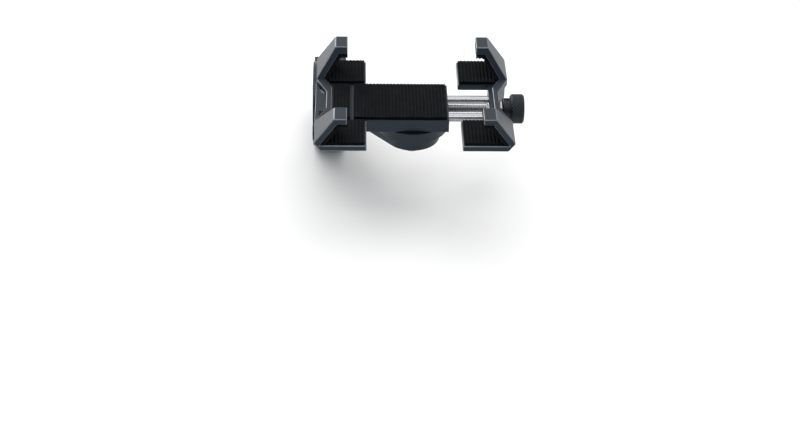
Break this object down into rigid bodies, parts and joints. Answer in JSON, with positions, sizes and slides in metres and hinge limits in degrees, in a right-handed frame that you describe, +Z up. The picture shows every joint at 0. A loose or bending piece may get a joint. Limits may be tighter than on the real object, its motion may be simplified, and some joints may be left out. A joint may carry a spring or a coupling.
{
  "type": "bicycle phone mount",
  "caption": "Handlebar phone holder: two hooked jaws closed by a knurled screw knob, on a swivel bracket with a hinged bar clamp.",
  "frame": {"origin": "on the handlebar's axis in the middle of the clamp's width", "axes": "+X along the handlebar to the rider's right, +Y forwards in the riding direction, +Z up, square to the phone's screen"},
  "size_m": [0.0993, 0.1147, 0.0671],
  "materials": {
    "anodised_aluminium": "satin black anodised",
    "rubber": "matte black, ribbed",
    "black_steel": "black oxide, satin",
    "bright_steel": "bright zinc",
    "brass": "machined",
    "nylon": "matte black"
  },
  "bodies": {
    "bracket": {"bracket_arm": "anodised_aluminium", "upper_bar_liner": "rubber", "swivel_friction_washer": "nylon", "clamp_hinge_pin": "bright_steel"},
    "cap": {"clamp_cap": "anodised_aluminium", "lower_bar_liner": "rubber"},
    "bolt": {"clamp_bolt": "black_steel", "clamp_bolt_washer": "bright_steel"},
    "holder": {"base_beam": "anodised_aluminium", "swivel_plate": "anodised_aluminium", "swivel_plate_screw_front_left": "black_steel", "swivel_plate_screw_front_right": "black_steel", "swivel_plate_screw_rear_left": "black_steel", "swivel_plate_screw_rear_right": "black_steel", "pivot_bolt": "black_steel", "pivot_washer": "bright_steel", "pivot_nut": "bright_steel", "lead_nut": "brass", "beam_seat_pad": "rubber", "left_middle_seat_pad": "rubber", "left_jaw": "anodised_aluminium", "left_jaw_screw_front": "black_steel", "left_jaw_screw_rear": "black_steel", "left_front_arm_liner": "rubber", "left_rear_arm_liner": "rubber", "left_front_seat_pad": "rubber", "left_rear_seat_pad": "rubber"},
    "sliding_jaw": {"right_jaw": "anodised_aluminium", "guide_rod_front": "bright_steel", "guide_rod_rear": "bright_steel", "right_front_arm_liner": "rubber", "right_rear_arm_liner": "rubber", "right_front_seat_pad": "rubber", "right_rear_seat_pad": "rubber"},
    "knob": {"thumb_knob": "black_steel", "lead_screw": "bright_steel", "knob_grub_screw": "black_steel", "thrust_washer": "bright_steel", "retaining_clip": "bright_steel"}
  },
  "joints": [
    {"name": "clamp_hinge", "type": "hinge", "parent": "bracket", "child": "cap", "pos_m": [0, -0.026, 0], "axis": [-1, 0, 0], "range_deg": [0, 75]},
    {"name": "clamp_bolt_travel", "type": "slide", "parent": "bracket", "child": "bolt", "axis": [0, 0, 1], "range_m": [0, 0.0121]},
    {"name": "holder_swivel", "type": "hinge", "parent": "bracket", "child": "holder", "pos_m": [0.0395, -0.048, 0], "axis": [0, 0, 1], "continuous": true},
    {"name": "jaw_slide", "type": "slide", "parent": "holder", "child": "sliding_jaw", "axis": [1, 0, 0], "range_m": [-0.017, 0.014]},
    {"name": "knob_turn", "type": "hinge", "parent": "sliding_jaw", "child": "knob", "pos_m": [0.0395, -0.048, 0.0287], "axis": [1, 0, 0], "range_deg": [-8743, 7201]}
  ],
  "couplings": [
    {"joint": "clamp_bolt_travel", "follows": "clamp_hinge", "m_per_rad": 0.00917},
    {"joint": "knob_turn", "follows": "jaw_slide", "rad_per_m": 8976}
  ]
}
